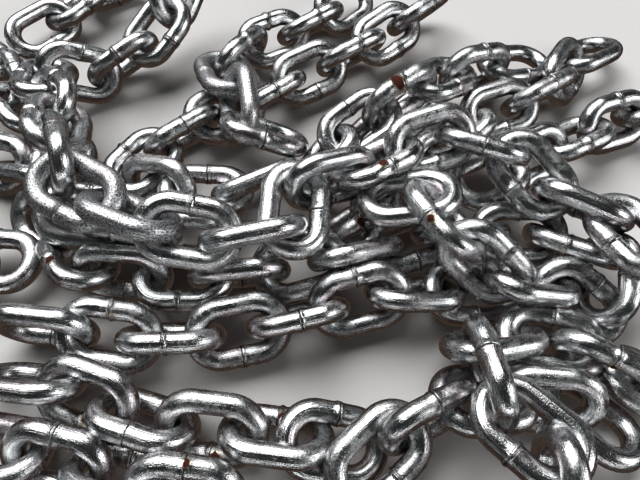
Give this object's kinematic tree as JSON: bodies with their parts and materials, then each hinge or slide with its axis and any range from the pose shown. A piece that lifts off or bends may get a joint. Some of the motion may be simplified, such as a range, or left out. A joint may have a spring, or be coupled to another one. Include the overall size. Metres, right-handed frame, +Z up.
{
  "type": "heap of iron chain",
  "caption": "Heap of bright zinc plated short link chain, lying in several tangled runs on the ground.",
  "frame": {"origin": "middle of the heap's bounds across and back, on the ground", "axes": "+X along the heap's long side, to the right in the picture; +Y away from the picture's viewer; +Z up"},
  "size_m": [0.3616, 0.2846, 0.0549],
  "materials": {
    "zinc": "bright zinc plating, smooth, with small rust spots at some welds"
  },
  "bodies": {
    "root": {"back_run_01": "zinc", "back_run_02": "zinc", "back_run_03": "zinc", "back_run_04": "zinc", "back_run_05": "zinc", "corner_run_01": "zinc", "corner_run_02": "zinc", "cross_run_01": "zinc", "deep_run_01": "zinc", "edge_run_01": "zinc", "edge_run_02": "zinc", "end_run_01": "zinc", "end_run_02": "zinc", "end_run_03": "zinc", "front_run_01": "zinc", "front_run_02": "zinc", "front_run_03": "zinc", "inner_run_01": "zinc", "knot_run_01": "zinc", "knot_run_02": "zinc", "knot_run_03": "zinc", "left_run_01": "zinc", "loop_run_01": "zinc", "loop_run_02": "zinc", "loop_run_03": "zinc", "main_run_01": "zinc", "main_run_02": "zinc", "main_run_03": "zinc", "main_run_04": "zinc", "main_run_05": "zinc", "main_run_06": "zinc", "main_run_07": "zinc", "main_run_08": "zinc", "main_run_09": "zinc", "main_run_10": "zinc", "middle_run_01": "zinc", "middle_run_02": "zinc", "middle_run_03": "zinc", "middle_run_04": "zinc", "near_run_01": "zinc", "near_run_02": "zinc", "side_run_01": "zinc", "side_run_02": "zinc", "side_run_03": "zinc", "top_run_01": "zinc", "under_run_01": "zinc", "under_run_02": "zinc", "under_run_03": "zinc", "under_run_04": "zinc", "under_run_05": "zinc", "under_run_06": "zinc", "under_run_07": "zinc", "under_run_08": "zinc", "upper_run_01": "zinc", "upper_run_02": "zinc", "upper_run_03": "zinc"}
  },
  "joints": []
}
